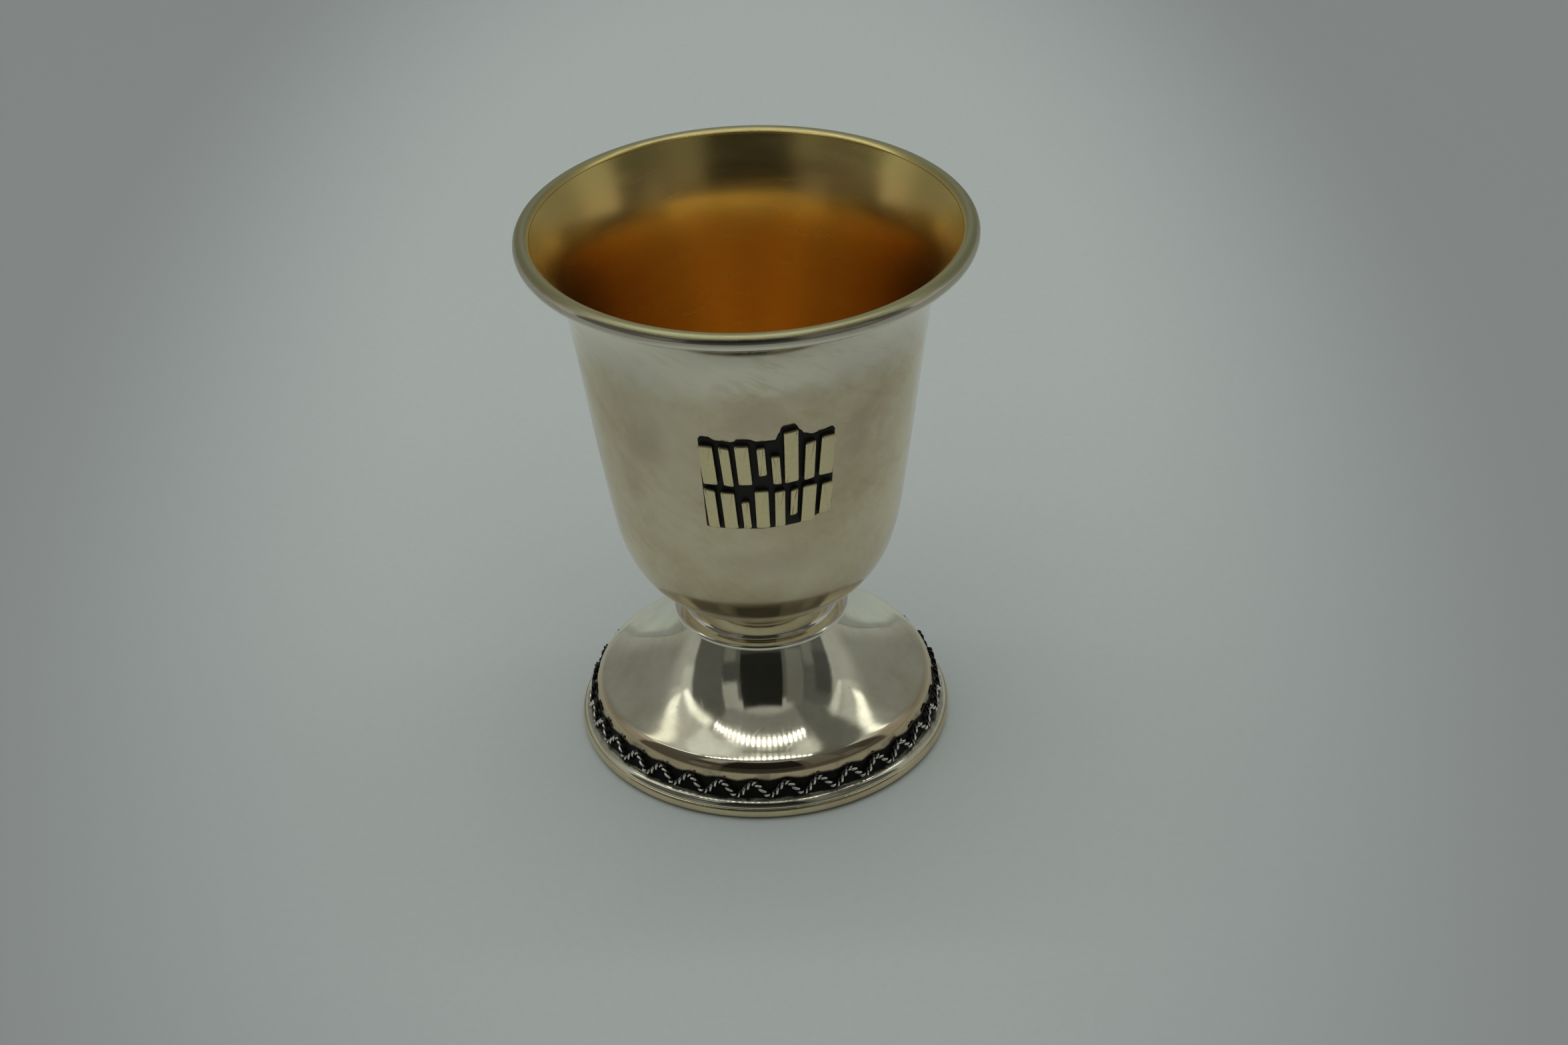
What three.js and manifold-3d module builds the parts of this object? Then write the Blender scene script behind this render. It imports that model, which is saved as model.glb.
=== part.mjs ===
// Kiddush cup: spun silver bowl with a rolled rim, gilded inside, on a stepped collar and a
// hollow trumpet foot with a base ring, a twisted wire wave round the border and an applied plaque.
// Millimetres, +Z up, origin on the table at the cup's axis; the plaque faces -Y.
import * as THREE from 'three';
import Module from 'manifold-3d';

const wasm = await Module();
wasm.setup();
const { Manifold, Mesh } = wasm;

// whole cup
const rimRadius = 28.0;
const cupHeight = 71.8;
const segments = 60;

// bowl
const beadRadius = 1.1;
const bowlFloor = 18.35;
const bowlSeat = 6.6;
const bowlWall = 0.6;
const lipStart = 62.0;

// collar
const flangeRadius = 11.3;
const flangeBottom = 16.9;
const flangeTop = 17.75;
const stepRadius = 9.86;
const stepShoulder = 18.2;
const stepTop = 18.5;
const dishRadius = 7.9;
const dishTop = 19.12;

// foot
const footRadius = 24.18;
const stemRadius = 10.3;
const domeRound = 2.4;
const domeRoundStart = 57.5;
const domeRoundCentre = [19.71, 5.06];
const lipRound = 1.0;
const lipRoundCentre = [22.9, 1.43];
const footWall = 0.75;
const footSeat = 1.6;

// base ring
const ringInner = 22.25;

// wire wave
const waveCount = 34;
const waveMiddle = 3.93;
const waveReach = 0.85;
const waveTurn = -4.4;
const wireRadius = 0.36;
const wireGap = 0.06;

// plaque
const plaqueTurn = 4.8;
const plaqueGap = 0.1;
const plateThickness = 0.45;
const strokeRise = 0.5;

const rad = THREE.MathUtils.degToRad;
const v2 = (r, z) => new THREE.Vector2(r, z);

// points of a round edge from one normal angle to another, degrees above the horizontal
function roundEdge(centre, radius, from, to, steps) {
  const points = [];
  for (let i = 0; i <= steps; i += 1) {
    const a = rad(from + ((to - from) * i) / steps);
    points.push(v2(centre[0] + radius * Math.cos(a), centre[1] + radius * Math.sin(a)));
  }
  return points;
}

function spun(points) {
  return new THREE.LatheGeometry(points, segments);
}

// outside of the bowl: round underside, slightly tapering wall, flared lip
const bowlOutline = [
  v2(9.12, 20.0),
  v2(11.33, 21.5),
  v2(13.73, 23.0),
  v2(15.38, 25.0),
  v2(16.76, 27.5),
  v2(17.92, 31.0),
  v2(18.71, 36.0),
  v2(21.37, 56.0),
  v2(22.15, lipStart),
  v2(23.1, 65.4),
  v2(24.6, 68.0),
];

function bowlRadiusAt(z) {
  for (let i = 1; i < bowlOutline.length; i += 1) {
    const a = bowlOutline[i - 1];
    const b = bowlOutline[i];
    if (z <= b.y) {
      return a.x + ((b.x - a.x) * (z - a.y)) / (b.y - a.y);
    }
  }
  return bowlOutline[bowlOutline.length - 1].x;
}

// the same outline moved inward along its own normals
function inset(points, distance) {
  return points.map((p, i) => {
    const before = points[Math.max(i - 1, 0)];
    const after = points[Math.min(i + 1, points.length - 1)];
    const along = after.clone().sub(before).normalize();
    return v2(p.x - along.y * distance, p.y + along.x * distance);
  });
}

function makeBowl() {
  const beadCentre = [rimRadius - beadRadius, cupHeight - beadRadius];
  const inside = inset(bowlOutline, bowlWall).filter((point, i) => i % 2 === 0).reverse();
  return spun([
    v2(0, bowlFloor),
    v2(bowlSeat, bowlFloor),
    ...bowlOutline,
    ...roundEdge(beadCentre, beadRadius, -135, 135, 6),
    ...inside,
    v2(bowlSeat, bowlFloor + bowlWall),
    v2(0, bowlFloor + bowlWall),
  ]);
}

// turned flange with a domed step whose dished top carries the bowl
function makeCollar() {
  const edge = (flangeTop - flangeBottom) / 2;
  return spun([
    v2(0, flangeBottom),
    v2(stemRadius, flangeBottom),
    ...roundEdge([flangeRadius - edge, flangeBottom + edge], edge, -90, 90, 3),
    v2(stepRadius, flangeTop),
    v2(stepRadius - 0.08, stepShoulder),
    v2(stepRadius - 0.42, stepTop),
    v2(dishRadius, dishTop),
    v2(bowlSeat, bowlFloor),
    v2(0, bowlFloor),
  ]);
}

// hollow sweep from the stem out towards the shoulder, radius and height
const footSweep = [
  [stemRadius, flangeBottom],
  [11.15, 15.46],
  [12.31, 13.79],
  [13.8, 12.13],
  [15.6, 10.55],
  [18.0, 8.84],
].map(([r, z]) => v2(r, z));

function makeFoot() {
  const outside = [
    ...footSweep,
    ...roundEdge(domeRoundCentre, domeRound, domeRoundStart, 16.4, 3),
    ...roundEdge(lipRoundCentre, lipRound, 100, 10, 3),
    v2(lipRoundCentre[0] + lipRound - 0.05, footSeat),
  ];
  const inside = [
    v2(ringInner, footSeat),
    v2(22.05, 2.3),
    ...roundEdge(domeRoundCentre, domeRound - footWall, 16.4, domeRoundStart, 1),
    ...inset(footSweep, -footWall).slice(1).filter((point, i) => i % 2 === 0).reverse(),
    v2(stemRadius - footWall, flangeBottom),
  ];
  return spun([...outside, ...inside, outside[0].clone()].reverse());
}

function makeBaseRing() {
  const outside = [
    v2(23.3, 0),
    v2(23.95, 0.35),
    v2(footRadius, 0.95),
    v2(24.0, footSeat),
  ];
  const start = v2(ringInner, 0);
  return spun([start, ...outside, v2(ringInner, footSeat), start.clone()]);
}

// radius of the border wall under the wave
function borderRadius(z) {
  const top = roundEdge(domeRoundCentre, domeRound, 16.4, 16.4, 1)[0];
  const foot = roundEdge(lipRoundCentre, lipRound, 100, 100, 1)[0];
  return top.x + ((foot.x - top.x) * (top.y - z)) / (top.y - foot.y);
}

// closed round wire following a path given by an angle
function closedWire(path, steps, sides, radius) {
  const positions = [];
  const index = [];
  for (let i = 0; i < steps; i += 1) {
    const turn = (2 * Math.PI * i) / steps;
    const centre = path(turn);
    const tangent = path(turn + 0.001).sub(path(turn - 0.001)).normalize();
    const outward = new THREE.Vector3(centre.x, centre.y, 0).normalize();
    const side = new THREE.Vector3().crossVectors(tangent, outward).normalize();
    const lift = new THREE.Vector3().crossVectors(side, tangent);
    for (let j = 0; j < sides; j += 1) {
      const a = (2 * Math.PI * j) / sides;
      const p = centre.clone().addScaledVector(lift, radius * Math.cos(a));
      p.addScaledVector(side, radius * Math.sin(a));
      positions.push(p.x, p.y, p.z);
    }
  }
  for (let i = 0; i < steps; i += 1) {
    for (let j = 0; j < sides; j += 1) {
      const a = i * sides + j;
      const b = i * sides + ((j + 1) % sides);
      const c = ((i + 1) % steps) * sides + j;
      const d = ((i + 1) % steps) * sides + ((j + 1) % sides);
      index.push(a, b, c, b, d, c);
    }
  }
  const geometry = new THREE.BufferGeometry();
  geometry.setAttribute('position', new THREE.Float32BufferAttribute(positions, 3));
  geometry.setIndex(index);
  return geometry;
}

function wavePath(turn) {
  const z = waveMiddle + waveReach * Math.cos(waveCount * (turn - rad(waveTurn)));
  const r = borderRadius(z) + wireRadius + wireGap;
  return new THREE.Vector3(r * Math.sin(turn), -r * Math.cos(turn), z);
}

function makeWave() {
  return closedWire(wavePath, waveCount * 6, 4, wireRadius);
}

// a point on the plaque: distance along the bowl, height, distance off the wall
function onBowl(along, z, off) {
  const turn = rad(plaqueTurn) + along / bowlRadiusAt(48);
  const r = bowlRadiusAt(z) + plaqueGap + off;
  return [r * Math.sin(turn), -r * Math.cos(turn), z];
}

function solidFrom(points, faces) {
  const mesh = new Mesh({
    numProp: 3,
    vertProperties: new Float32Array(points.flat()),
    triVerts: new Uint32Array(faces.flat()),
  });
  return new Manifold(mesh);
}

// a thin plate in columns: each column gives its place along the bowl and its heights
function bentPlate(columns, near, far) {
  const points = [];
  const faces = [];
  const levels = columns[0].heights.length;
  const at = (side, i, j) => (side * columns.length + i) * levels + j;
  const quad = (a, b, c, d) => faces.push([a, b, c], [a, c, d]);
  [near, far].forEach((off) => {
    columns.forEach(({ along, heights }) => heights.forEach((z) => points.push(onBowl(along, z, off))));
  });
  for (let i = 0; i + 1 < columns.length; i += 1) {
    for (let j = 0; j + 1 < levels; j += 1) {
      quad(at(0, i, j), at(0, i, j + 1), at(0, i + 1, j + 1), at(0, i + 1, j));
      quad(at(1, i, j), at(1, i + 1, j), at(1, i + 1, j + 1), at(1, i, j + 1));
    }
    quad(at(0, i, 0), at(0, i + 1, 0), at(1, i + 1, 0), at(1, i, 0));
    quad(at(0, i, levels - 1), at(1, i, levels - 1), at(1, i + 1, levels - 1), at(0, i + 1, levels - 1));
  }
  const last = columns.length - 1;
  for (let j = 0; j + 1 < levels; j += 1) {
    quad(at(0, 0, j), at(1, 0, j), at(1, 0, j + 1), at(0, 0, j + 1));
    quad(at(0, last, j), at(0, last, j + 1), at(1, last, j + 1), at(1, last, j));
  }
  return solidFrom(points, faces);
}

// two rows of plain upright strokes on a thin plate with an uneven edge
const plateColumns = [
  { along: -7.9, foot: 41.2, top: 54.1 },
  { along: -6.0, foot: 41.0, top: 54.4 },
  { along: -3.9, foot: 41.1, top: 54.0 },
  { along: -1.8, foot: 40.9, top: 54.3 },
  { along: 0.3, foot: 41.1, top: 54.1 },
  { along: 2.0, foot: 41.0, top: 56.0 },
  { along: 3.7, foot: 41.2, top: 55.9 },
  { along: 5.7, foot: 41.6, top: 54.1 },
  { along: 7.8, foot: 42.4, top: 54.4 },
];
const rowGap = 47.3;
const strokeRows = [
  { foot: 47.85, tops: [53.7, 53.5, 53.8, 53.5, 54.0, 55.4, 53.9, 53.8], lean: 0.3 },
  { foot: 41.4, tops: [46.8, 46.5, 46.8, 46.6, 46.8, 46.5, 46.8, 46.6], lean: -0.3 },
];
const strokeWidth = 1.35;

function makePlaque() {
  const columns = plateColumns.map(({ along, foot, top }) => ({ along, heights: [foot, rowGap, top] }));
  const solids = [bentPlate(columns, 0, plateThickness)];
  strokeRows.forEach(({ foot, tops, lean }) => {
    tops.forEach((top, i) => {
      const left = plateColumns[i];
      const right = plateColumns[i + 1];
      const middle = (left.along + right.along) / 2;
      const low = Math.max(foot, (left.foot + right.foot) / 2 + 0.3);
      const stroke = [-strokeWidth / 2, strokeWidth / 2].map((half) => ({
        low: middle + half + lean / 2,
        high: middle + half - lean / 2,
      }));
      solids.push(bentStroke(stroke, low, top));
    });
  });
  return fromManifold(Manifold.union(solids));
}

function bentStroke([left, right], low, high) {
  const points = [plateThickness / 2, plateThickness + strokeRise].flatMap((off) => [
    onBowl(left.low, low, off),
    onBowl(right.low, low, off),
    onBowl(right.high, high, off),
    onBowl(left.high, high, off),
  ]);
  const faces = [
    [0, 2, 1], [0, 3, 2], [4, 5, 6], [4, 6, 7], [0, 1, 5], [0, 5, 4],
    [1, 2, 6], [1, 6, 5], [2, 3, 7], [2, 7, 6], [3, 0, 4], [3, 4, 7],
  ];
  return solidFrom(points, faces);
}

function fromManifold(solid) {
  const mesh = solid.getMesh();
  const geometry = new THREE.BufferGeometry();
  geometry.setAttribute('position', new THREE.Float32BufferAttribute(mesh.vertProperties, 3));
  geometry.setIndex(Array.from(mesh.triVerts));
  return geometry;
}

const silver = { color: 0xcfcabc, roughness: 0.18, metalness: 1.0 };
const looks = {
  bowl: silver,
  plaque: { color: 0xd6d0bb, roughness: 0.3, metalness: 1.0 },
  collar: { ...silver, roughness: 0.1 },
  foot: silver,
  base_ring: silver,
  wave_wire: { color: 0xe2ddd0, roughness: 0.2, metalness: 1.0 },
};

// lathes turn about +Y, the cup stands along +Z
function upright(geometry) {
  return geometry.rotateX(Math.PI / 2);
}

const cup = new THREE.Group();
cup.name = 'kiddush_cup';

function add(name, geometry) {
  geometry.computeVertexNormals();
  const mesh = new THREE.Mesh(geometry, new THREE.MeshStandardMaterial(looks[name]));
  mesh.name = name;
  cup.add(mesh);
}

add('bowl', upright(makeBowl()));
add('collar', upright(makeCollar()));
add('foot', upright(makeFoot()));
add('base_ring', upright(makeBaseRing()));
add('wave_wire', makeWave());
add('plaque', makePlaque());

export default cup;
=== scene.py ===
import math
import random

import bpy
from mathutils import Matrix, Vector


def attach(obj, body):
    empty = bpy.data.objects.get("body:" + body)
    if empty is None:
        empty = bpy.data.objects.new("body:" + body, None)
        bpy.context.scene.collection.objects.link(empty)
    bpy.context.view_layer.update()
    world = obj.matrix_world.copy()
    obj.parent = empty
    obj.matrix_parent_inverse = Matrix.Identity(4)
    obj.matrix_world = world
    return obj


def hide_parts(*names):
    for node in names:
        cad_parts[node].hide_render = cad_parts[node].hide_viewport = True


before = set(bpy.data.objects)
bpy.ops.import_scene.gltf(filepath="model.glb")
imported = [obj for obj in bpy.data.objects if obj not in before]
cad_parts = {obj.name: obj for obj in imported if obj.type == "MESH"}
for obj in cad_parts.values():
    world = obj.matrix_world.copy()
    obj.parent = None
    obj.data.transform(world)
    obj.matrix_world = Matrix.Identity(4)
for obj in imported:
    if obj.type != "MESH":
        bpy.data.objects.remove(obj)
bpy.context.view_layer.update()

mm = 0.001
scene = bpy.context.scene
scene.view_settings.view_transform = "Standard"
print("frame loaded:", sorted(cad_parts))


def inMm(values):
    return [value * mm for value in values]


def roundEdge(centre, radius, start, stop, steps):
    points = []
    for i in range(steps + 1):
        a = math.radians(start + (stop - start) * i / steps)
        points.append((centre[0] + radius * math.cos(a), centre[1] + radius * math.sin(a)))
    return points


def smoothCurve(points, perSpan):
    # cubic B-spline held at both ends, so reflections run over it without a kink
    held = [points[0]] * 2 + list(points) + [points[-1]] * 2
    out = []
    for i in range(len(held) - 3):
        p = held[i : i + 4]
        for k in range(perSpan):
            t = k / perSpan
            w = (
                (1 - t) ** 3 / 6,
                (3 * t**3 - 6 * t**2 + 4) / 6,
                (-3 * t**3 + 3 * t**2 + 3 * t + 1) / 6,
                t**3 / 6,
            )
            out.append(tuple(sum(w[j] * p[j][axis] for j in range(4)) for axis in (0, 1)))
    out.append(tuple(points[-1]))
    clean = [out[0]]
    for q in out[1:]:
        if math.dist(q, clean[-1]) > 1e-4:
            clean.append(q)
    return clean


def makeMesh(name, verts, faces, marks=None):
    mesh = bpy.data.meshes.new(name)
    mesh.from_pydata(verts, [], faces)
    mesh.validate()
    mesh.polygons.foreach_set("use_smooth", [True] * len(mesh.polygons))
    for key, values in (marks or {}).items():
        layer = mesh.attributes.new(key, "FLOAT", "POINT")
        layer.data.foreach_set("value", values)
    mesh.update()
    obj = bpy.data.objects.new(name, mesh)
    scene.collection.objects.link(obj)
    return obj


def spin(name, profile, turns=256, closed=False, marks=None):
    # profile in mm, outside going up; marks holds one value per profile point
    verts, faces, rings, values = [], [], [], {key: [] for key in (marks or {})}
    for n, (r, z) in enumerate(profile):
        onAxis = r < 1e-5
        count = 1 if onAxis else turns
        ring = []
        for i in range(count):
            a = 2 * math.pi * i / turns
            ring.append(len(verts))
            verts.append((r * mm * math.sin(a), -r * mm * math.cos(a), z * mm))
            for key in values:
                values[key].append(marks[key][n])
        rings.append(ring)
    pairs = list(zip(rings, rings[1:]))
    if closed:
        pairs.append((rings[-1], rings[0]))
    for low, high in pairs:
        for i in range(turns):
            j = (i + 1) % turns
            if len(low) == 1 and len(high) == 1:
                continue
            if len(low) == 1:
                faces.append((low[0], high[j], high[i]))
            elif len(high) == 1:
                faces.append((low[i], low[j], high[0]))
            else:
                faces.append((low[i], low[j], high[j], high[i]))
    return makeMesh(name, verts, faces, values)


class Graph:
    def __init__(self, tree):
        self.tree = tree

    def node(self, kind, **values):
        node = self.tree.nodes.new(kind)
        for key, value in values.items():
            setattr(node, key, value)
        return node

    def put(self, target, value):
        if isinstance(value, bpy.types.NodeSocket):
            self.tree.links.new(value, target)
        elif value is not None:
            target.default_value = value

    def math(self, operation, a, b=None, c=None, clamp=False):
        node = self.node("ShaderNodeMath", operation=operation, use_clamp=clamp)
        for socket, value in zip(node.inputs, (a, b, c)):
            self.put(socket, value)
        return node.outputs[0]

    def add(self, a, b):
        return self.math("ADD", a, b)

    def less(self, a, b):
        return self.math("SUBTRACT", a, b)

    def times(self, a, b):
        return self.math("MULTIPLY", a, b)

    def length(self, a, b):
        return self.math("SQRT", self.add(self.times(a, a), self.times(b, b)))

    def turn(self, x, y):
        # angle round the cup from the front, growing to the right
        return self.math("ARCTAN2", x, self.times(y, -1.0))

    def ramp(self, value, low, high, toLow=0.0, toHigh=1.0, smooth=True):
        node = self.node("ShaderNodeMapRange", interpolation_type="SMOOTHSTEP" if smooth else "LINEAR")
        for socket, item in zip(node.inputs, (value, low, high, toLow, toHigh)):
            self.put(socket, item)
        return node.outputs[0]

    def mix(self, factor, a, b, blend="MIX"):
        node = self.node("ShaderNodeMix", data_type="RGBA", blend_type=blend)
        self.put(node.inputs[0], factor)
        self.put(node.inputs[6], a)
        self.put(node.inputs[7], b)
        return node.outputs[2]

    def blend(self, factor, a, b):
        node = self.node("ShaderNodeMix", data_type="FLOAT")
        self.put(node.inputs[0], factor)
        self.put(node.inputs[2], a)
        self.put(node.inputs[3], b)
        return node.outputs[0]

    def noise(self, vector, scale, detail=3.0, rough=0.5):
        node = self.node("ShaderNodeTexNoise")
        self.put(node.inputs["Vector"], vector)
        self.put(node.inputs["Scale"], scale)
        self.put(node.inputs["Detail"], detail)
        self.put(node.inputs["Roughness"], rough)
        return node.outputs["Fac"]

    def position(self):
        return self.node("ShaderNodeTexCoord").outputs["Object"]

    def split(self, vector):
        node = self.node("ShaderNodeSeparateXYZ")
        self.put(node.inputs[0], vector)
        return node.outputs

    def join(self, x, y, z):
        node = self.node("ShaderNodeCombineXYZ")
        for socket, value in zip(node.inputs, (x, y, z)):
            self.put(socket, value)
        return node.outputs[0]

    def mark(self, name):
        return self.node("ShaderNodeAttribute", attribute_name=name).outputs["Fac"]

    def bump(self, height, distance, normal=None):
        node = self.node("ShaderNodeBump")
        node.inputs["Distance"].default_value = distance
        self.put(node.inputs["Height"], height)
        self.put(node.inputs["Normal"], normal)
        return node.outputs[0]


def newGroup(name, inputs, outputs):
    tree = bpy.data.node_groups.new(name, "ShaderNodeTree")
    for label, kind, value in inputs:
        socket = tree.interface.new_socket(name=label, in_out="INPUT", socket_type="NodeSocket" + kind)
        socket.default_value = value
    for label, kind in outputs:
        tree.interface.new_socket(name=label, in_out="OUTPUT", socket_type="NodeSocket" + kind)
    graph = Graph(tree)
    return graph, graph.node("NodeGroupInput").outputs, graph.node("NodeGroupOutput").inputs


def useGroup(graph, group, values=None):
    node = graph.node("ShaderNodeGroup", node_tree=group)
    for key, value in (values or {}).items():
        graph.put(node.inputs[key], value)
    return node.outputs


def buildTurnedLines():
    # fine lines left by the lathe, running round the cup
    g, given, out = newGroup(
        "turnedLines",
        [("Fineness", "Float", 9000.0), ("Length", "Float", 2.0), ("Seed", "Float", 0.0)],
        [("Lines", "Float"), ("Haze", "Float")],
    )
    x, y, z = g.split(g.position())
    radius = g.length(x, y)
    safe = g.math("MAXIMUM", radius, 1e-4)
    along = g.add(z, g.times(radius, 0.83))

    def stretched(length, fineness):
        return g.join(
            g.times(g.math("DIVIDE", x, safe), length),
            g.add(g.times(g.math("DIVIDE", y, safe), length), given["Seed"]),
            g.times(along, fineness),
        )

    g.put(out["Lines"], g.noise(stretched(given["Length"], given["Fineness"]), 1.0, 2.0, 0.6))
    g.put(out["Haze"], g.noise(stretched(3.0, g.times(given["Fineness"], 0.12)), 1.0, 3.0, 0.6))
    return g.tree


def buildTarnish():
    # uneven warm film on old silver, with paler rubbed places
    g, given, out = newGroup(
        "silverTarnish",
        [
            ("Clean", "Color", (0.9, 0.86, 0.76, 1)),
            ("Film", "Color", (0.62, 0.5, 0.33, 1)),
            ("Amount", "Float", 0.4),
            ("Patch Size", "Float", 90.0),
        ],
        [("Color", "Color"), ("Mask", "Float")],
    )
    place = g.position()
    broad = g.noise(place, given["Patch Size"], 4.0, 0.62)
    fine = g.noise(place, g.times(given["Patch Size"], 9.0), 3.0, 0.6)
    patches = g.ramp(g.add(g.times(broad, 0.82), g.times(fine, 0.18)), 0.36, 0.7)
    mask = g.math("MULTIPLY", patches, given["Amount"], clamp=True)
    g.put(out["Color"], g.mix(mask, given["Clean"], given["Film"]))
    g.put(out["Mask"], mask)
    return g.tree


def buildScratches():
    # short stray hairlines and small dark pits
    g, given, out = newGroup(
        "strayMarks",
        [("Scale", "Float", 260.0), ("Seed", "Float", 0.0)],
        [("Hairlines", "Float"), ("Pits", "Float")],
    )
    x, y, z = g.split(g.position())
    lines = None
    for turn, stretch in ((0.5, 22.0), (1.9, 30.0)):
        c, s = math.cos(turn), math.sin(turn)
        u = g.add(g.times(x, c), g.times(z, s))
        v = g.less(g.times(z, c), g.times(x, s))
        place = g.join(u, g.add(y, given["Seed"]), g.times(v, stretch))
        line = g.ramp(g.noise(place, given["Scale"], 2.0, 0.5), 0.685, 0.74)
        lines = line if lines is None else g.math("MAXIMUM", lines, line)
    g.put(out["Hairlines"], lines)
    cells = g.node("ShaderNodeTexVoronoi", feature="F1")
    g.put(cells.inputs["Vector"], g.position())
    cells.inputs["Scale"].default_value = 420.0
    dots = g.ramp(cells.outputs["Distance"], 0.05, 0.11, 1.0, 0.0)
    rare = g.ramp(g.noise(g.position(), 150.0, 2.0), 0.6, 0.66)
    g.put(out["Pits"], g.times(dots, rare))
    return g.tree


def buildWipeMarks():
    # slanted cloudy streaks where a cloth went over the film
    g, given, out = newGroup("wipeMarks", [("Seed", "Float", 0.0)], [("Mask", "Float")])
    x, y, z = g.split(g.position())
    turn = g.turn(x, y)
    u = g.math("MULTIPLY_ADD", turn, 0.02, g.times(z, -0.7))
    v = g.math("MULTIPLY_ADD", turn, 0.014, z)
    place = g.join(g.times(u, 0.3), given["Seed"], g.times(v, 1.6))
    streak = g.ramp(g.noise(place, 420.0, 4.0, 0.65), 0.48, 0.72)
    where = g.ramp(g.noise(g.position(), 55.0, 2.0, 0.5), 0.42, 0.6)
    front = g.ramp(g.math("ABSOLUTE", turn), 3.05, 2.6)  # none where the turn wraps at the back
    g.put(out["Mask"], g.times(g.times(streak, where), front))
    return g.tree


turnedLines = buildTurnedLines()
wipeMarks = buildWipeMarks()
silverTarnish = buildTarnish()
strayMarks = buildScratches()


def newMaterial(name):
    material = bpy.data.materials.new(name)
    material.use_nodes = True
    tree = material.node_tree
    tree.nodes.clear()
    g = Graph(tree)
    shader = g.node("ShaderNodeBsdfPrincipled")
    output = g.node("ShaderNodeOutputMaterial")
    tree.links.new(shader.outputs[0], output.inputs[0])
    return material, g, shader.inputs


pitColour = (0.12, 0.1, 0.07, 1)
lineDepth = 0.0015 * mm


def polishedSilver(name, look):
    material, g, shader = newMaterial(name)
    tarnish = {"Clean": look["clean"], "Film": look["film"], "Amount": look["amount"]}
    film = useGroup(g, silverTarnish, {**tarnish, "Patch Size": look["patchSize"]})
    lathe = useGroup(g, turnedLines, {"Fineness": look["fineness"], "Seed": look["seed"]})
    marks = useGroup(g, strayMarks, {"Seed": look["seed"]})
    colour = g.mix(g.times(marks["Pits"], look["pits"]), film["Color"], pitColour)
    rough = g.add(look["roughness"], g.times(film["Mask"], look["filmRoughness"]))
    rough = g.add(rough, g.times(g.ramp(lathe["Haze"], 0.42, 0.72), look["haze"]))
    rough = g.add(rough, g.times(marks["Hairlines"], look["hairlines"]))
    # lathe lines stand up a little, hairlines are cut in
    relief = g.add(g.times(lathe["Lines"], look["lines"]), g.times(marks["Hairlines"], -0.1))
    waves = g.noise(g.position(), 70.0, 1.0, 0.4)
    normal = g.bump(waves, look["waves"] * mm)
    normal = g.bump(relief, lineDepth, normal)
    g.put(shader["Base Color"], colour)
    g.put(shader["Roughness"], rough)
    g.put(shader["Normal"], normal)
    shader["Metallic"].default_value = 1.0
    shader["Anisotropic"].default_value = look["grain"]
    shader["Anisotropic Rotation"].default_value = 0.25
    g.put(shader["Tangent"], g.node("ShaderNodeTangent", direction_type="RADIAL", axis="Z").outputs[0])
    return material, g, shader, colour, rough, normal


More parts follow.
